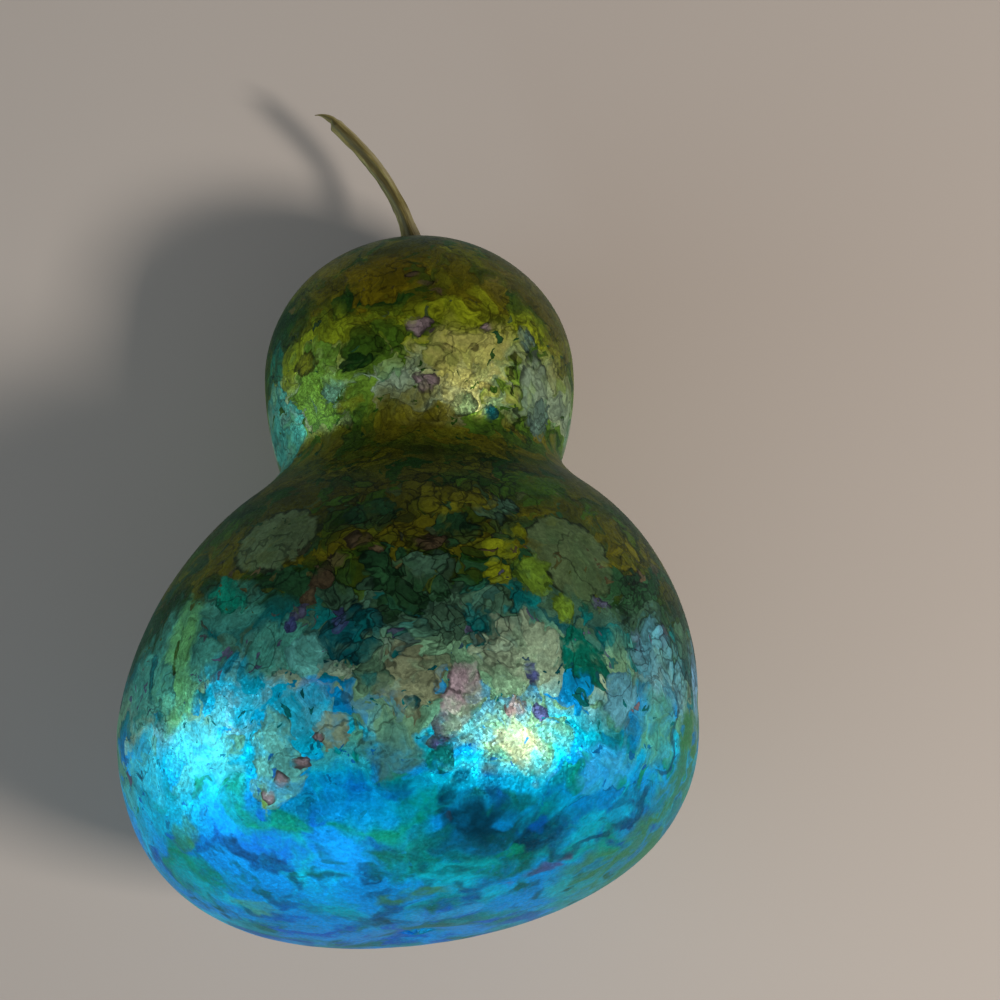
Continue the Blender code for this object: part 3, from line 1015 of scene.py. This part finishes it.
def drop_pools(graph, skin, colour, pools):
    """Lays one pool of ink after another. Also says where the smooth ones lie."""
    smooth = None
    lobes = (graph.noise(skin.own, LOBE_SIZE, 1.5, 0.5) - 0.5) * LOBE_DEPTH
    lobes = skin.cells * CELL_LOBE - LOBE_SHIFT + lobes
    wet = graph.noise(skin.rippled, WET_SIZE, 3.0, 0.6)
    sheer = graph.step(wet, *SHEER)
    full = {edge: sheer * share for edge, share in COVER.items()}
    broken = graph.step(wet, *BROKEN_RIM)
    for ink, across, along, width, length, edge in pools:
        small = edge == BOLD or (edge != SOFT and min(width, length) < SMALL_POOL)
        place = skin.small_place if small else skin.wide_place
        depth = length if along < BASE_EDGE else width
        scale = Vector([1 / (half * MM) for half in (width, length, depth)])
        centre = skin_place(across * MM, along * MM)
        offset = Vector([-c * s for c, s in zip(centre, scale)])
        away = graph.vector("LENGTH", graph.vector("MULTIPLY_ADD", place, scale, offset), output=1)
        away = away + (lobes * BOLD_LOBES if edge == BOLD else lobes)
        if edge == SOFT:
            inner = graph.step(away, *SOFT_FADE, 0.0, full[SOFT])
        else:
            rim = min(RIM_WIDTH[edge] / min(width, length), WIDEST_RIM)
            outside, inside, ink_full = (1 - share * rim for share in RIM_STEPS)
            cover = graph.step(away, 1.0, outside, 0.0, broken)
            colour = graph.blend(cover, colour, darkened(INKS[ink], RIM_SHADE[edge]))
            inner = graph.step(away, inside, ink_full, 0.0, full[edge])
        colour = graph.blend(inner, colour, INKS[ink])
        if ink in SMOOTH_INKS:
            smooth = inner if smooth is None else smooth.math("MAXIMUM", inner)
    return colour, smooth


def specks(graph, skin, colour):
    """Small specks, crisp except at the base, with a dark line round them."""
    speck = graph.noise(skin.flowed, SPECK_SIZE, 2.0, 0.5)
    faint = skin.crisp * (1 - BLURRED_SPECKS) + BLURRED_SPECKS
    mask = graph.step(speck, *SPECK_EDGE) * faint
    colour = graph.blend(mask, colour, wash(graph, skin.along, SPECKS))
    return dark_line(graph, rim_of(mask) * skin.crisp, colour, SPECK_LINE)


def contours(graph, skin, smooth, colour):
    """Tone that steps where each noise passes its level, with a darker line at each step."""
    ripples = graph.noise(skin.flowed, RIPPLE_SIZE, 3.0, 0.58)
    fields = {"over": skin.over, "fleck": skin.fleck, "ripples": ripples}
    tone = None
    for field, level, gain in CONTOURS:
        edge = (level - CONTOUR_HALF_WIDTH, level + CONTOUR_HALF_WIDTH)
        past = graph.step(fields[field], *edge)
        shade = past * gain + (1.0 - gain / 2) - past * (1.0 - past)
        tone = shade if tone is None else tone * shade
    lined = skin.crisp if smooth is None else skin.crisp * (1.0 - smooth * SMOOTHNESS)
    tone = tone * lined + (1.0 - lined)
    return toned(graph, colour, tone * graph.step(ripples, *RIPPLE_TONE))


def pebbles(graph, skin, colour):
    """Cells, as where spirit was dotted into wet ink: each has its own tone, and many a dark rim."""
    red, green = graph.parts(skin.cells.other("Color"))[:2]
    gaps = voronoi(graph, "DISTANCE_TO_EDGE", skin.sown, CELL_SIZE)
    rim = graph.step(gaps, *CELL_GAP) * graph.step(red, *RIMLESS_CELLS)
    tone = green * CELL_TONE_SPREAD + DARKEST_CELL
    colour = graph.blend(skin.crowded, colour, toned(graph, colour, tone))
    return dark_line(graph, rim * skin.crowded, colour, CELL_LINE)


def right_rim(graph, skin, colour):
    """An olive belt low on the right, with a broken dark line above it."""
    x, y, z = graph.parts(skin.own)
    height = z + (skin.patch - 0.5) * BELT_WANDER + (skin.fleck - 0.5) * BELT_RIPPLE
    here = graph.step(x, *BELT_SIDE) * graph.step(y, *BELT_END)
    belt = graph.step(height, *BELT_TOP) * graph.step(height, *BELT_BOTTOM) * here
    colour = graph.blend(belt * graph.step(skin.fleck, *BELT_COVER), colour, INKS["sea olive"])
    line = graph.step((height - BELT_LINE).math("ABSOLUTE"), *BELT_LINE_WIDTH) * here
    line = line * graph.step(skin.fleck, *BELT_LINE_BREAKS) * BELT_LINE_COVER
    return graph.blend(line, colour, INKS["navy"])


def crack(graph, skin, colour):
    """A dark crack in the ink on the crown's right."""
    ripple = graph.vector("SUBTRACT", skin.rippled, skin.own)
    place = graph.vector("MULTIPLY_ADD", ripple, (CRACK_WANDER,) * 3, skin.own)
    x, y, z = graph.parts(place)
    line = graph.step((x - CRACK_PLACE).math("ABSOLUTE"), *CRACK_WIDTH)
    line = line * between(graph, y, *CRACK_SPAN) * graph.step(z, *CRACK_HEIGHT)
    return dark_line(graph, line, colour, CRACK_LINE)


def drops(graph, skin, colour):
    """A few mauve drops with dark rims, where ink fell on the dry skin."""
    cells = voronoi(graph, "F1", skin.flowed, DROP_SPACING)
    red, green = graph.parts(cells.other("Color"))[:2]
    chosen = graph.step(red, *DROP_CHOICE) * skin.crisp * graph.step(skin.along, *DROPS_END)
    drop = graph.step(cells, *DROP_RADIUS) * chosen
    colour = graph.blend(drop, colour, graph.blend(green, INKS["mauve"], INKS["plum"]))
    return dark_line(graph, rim_of(drop), colour, DROP_LINE)


def veins(graph, skin, colour):
    """Fine dark veins, in patches."""
    vein = (graph.noise(skin.own, VEIN_SIZE, 4.0, 0.55) - 0.5).math("ABSOLUTE")
    vein = graph.step(vein, *VEIN_WIDTH) * graph.step(skin.patch, *VEIN_PATCHES)
    return dark_line(graph, vein * skin.crisp, colour, VEIN_LINE)


def pearl_flakes(graph, own):
    """The skin's normal, tipped a little by each pearl flake."""
    flake = voronoi(graph, "F1", own, FLAKE_SIZE).other("Color")
    tip = graph.vector("SUBTRACT", flake, (0.5,) * 3)
    facing = graph.add("ShaderNodeNewGeometry", output=1)
    return graph.vector("NORMALIZE", graph.vector("MULTIPLY_ADD", tip, (FLAKE_TILT,) * 3, facing))


def ink_skin(part, low, high):
    """Alcohol inks over a pearl ground: washes, pools, cells with dark rims, and pearl flakes."""
    made, graph, shader = material_graph("ink_on_" + part)
    skin = stirred_skin(graph)
    colour = washes(graph, skin)
    pools = [pool for pool in POOLS if reaches(pool, low, high)]
    colour, smooth = drop_pools(graph, skin, colour, pools)
    colour = specks(graph, skin, colour)
    colour = contours(graph, skin, smooth, colour)
    if part in WITH_CELLS:
        colour = pebbles(graph, skin, colour)
    if part in WITH_BELT:
        colour = right_rim(graph, skin, colour)
    colour = crack(graph, skin, colour) if part == "crown" else drops(graph, skin, colour)
    colour = veins(graph, skin, colour)
    grain = graph.noise(skin.own, GRAIN_SIZE, 2.0, 0.6)
    colour = toned(graph, colour, graph.step(grain, *GRAIN_TONE))
    graph.feed(shader.inputs["Base Color"], colour)
    graph.feed(shader.inputs["Normal"], pearl_flakes(graph, skin.own))
    for socket, value in PEARL.items():
        shader.inputs[socket].default_value = value
    return made


# The stem's wood: its streaks, from dark to pale, then painted light on the side that faces the key
# light and a painted shaded streak.
STREAKS = [(0.30, paint(60, 52, 22)), (0.5, paint(104, 94, 44)), (0.72, paint(140, 134, 84))]
STREAK_SIZE = 0.35
STREAK_STRETCH = 2.5
PATCHY_SIZE = 0.8
PATCHY_REACH = 1.4
# Colour of the painted light on the stem's side that faces the key light.
PAINTED_LIT_COLOUR = paint(164, 156, 122)
SHADED = paint(56, 50, 10)
WOOD_ROUGHNESS = 0.7


def dry_wood():
    """Dry stem: olive brown, with long streaks, a painted shaded streak along one side and painted
    light on the side that faces the key light.
    """
    made, graph, shader = material_graph("dried_stem")
    strand = graph.add("ShaderNodeAttribute", {"attribute_name": "strand"}, output=1)
    stretched = graph.vector("MULTIPLY", strand, (1.0, 1.0, STREAK_STRETCH))
    streak = graph.noise(stretched, STREAK_SIZE, 4.0, 0.65)
    colour = graph.add("ShaderNodeValToRGB", {"stops": STREAKS}, [streak])
    patchy = (graph.noise(stretched, PATCHY_SIZE, 3.0, 0.6) - 0.5) * PATCHY_REACH
    side = graph.parts(strand)[0] + patchy
    # Painted light: the stem's right side, which faces the key light, is paler.
    painted_lit_side = graph.step(side, 0.45, 0.95)
    colour = graph.blend(painted_lit_side * 0.75, colour, PAINTED_LIT_COLOUR)
    # Painted shade: a darker streak along the stem.
    shaded = graph.step(side, -0.75, -0.35) * graph.step(side, 0.40, 0.05)
    colour = graph.blend(shaded * 0.8, colour, SHADED)
    graph.feed(shader.inputs["Base Color"], colour)
    shader.inputs["Roughness"].default_value = WOOD_ROUGHNESS
    bump = graph.add("ShaderNodeBump", {}, {"Strength": 0.5, "Distance": 0.0003, "Height": streak})
    graph.feed(shader.inputs["Normal"], bump)
    return made


# Floor, light and camera


def build_floor():
    size = FLOOR_HALF_WIDTH
    mesh = bpy.data.meshes.new("floor")
    corners = [(-size, -size, 0), (size, -size, 0), (size, size, 0), (-size, size, 0)]
    mesh.from_pydata(corners, [], [(0, 1, 2, 3)])
    made, _, shader = material_graph("plain_floor")
    shader.inputs["Base Color"].default_value = FLOOR_COLOUR
    shader.inputs["Roughness"].default_value = FLOOR_ROUGHNESS
    mesh.materials.append(made)
    floor = bpy.data.objects.new("floor", mesh)
    bpy.context.scene.collection.objects.link(floor)


def softbox(name, direction, distance, width, height, power, colour):
    """An area light that faces the fruit from that direction."""
    data = bpy.data.lights.new(name, "AREA")
    data.shape = "RECTANGLE"
    data.size = width
    data.size_y = height
    data.energy = power
    data.color = colour
    lamp = bpy.data.objects.new(name, data)
    aim = Vector(direction).normalized()
    lamp.location = BELLY_PLACE + aim * distance
    lamp.rotation_euler = (-aim).to_track_quat("-Z", "Y").to_euler()
    bpy.context.scene.collection.objects.link(lamp)


def light_scene():
    for name, settings in SOFTBOXES.items():
        softbox(name, *settings)
    world = bpy.data.worlds.new("studio")
    world.use_nodes = True
    air = world.node_tree.nodes["Background"]
    air.inputs["Color"].default_value = AIR_COLOUR
    air.inputs["Strength"].default_value = AIR_STRENGTH
    bpy.context.scene.world = world
    bpy.context.scene.view_settings.view_transform = "Standard"


def place_camera():
    data = bpy.data.cameras.new("camera")
    data.lens = CAMERA_LENS
    data.sensor_width = SENSOR_WIDTH
    camera = bpy.data.objects.new("camera", data)
    place = BELLY_PLACE.xy + CAMERA_ASIDE
    camera.location = (place.x, place.y, CAMERA_HEIGHT)
    bpy.context.scene.collection.objects.link(camera)
    bpy.context.scene.camera = camera


build_fruit([(ink_skin(part, low, high), low) for part, low, high in SKIN_PARTS])
build_stem(dry_wood())
build_floor()
light_scene()
place_camera()
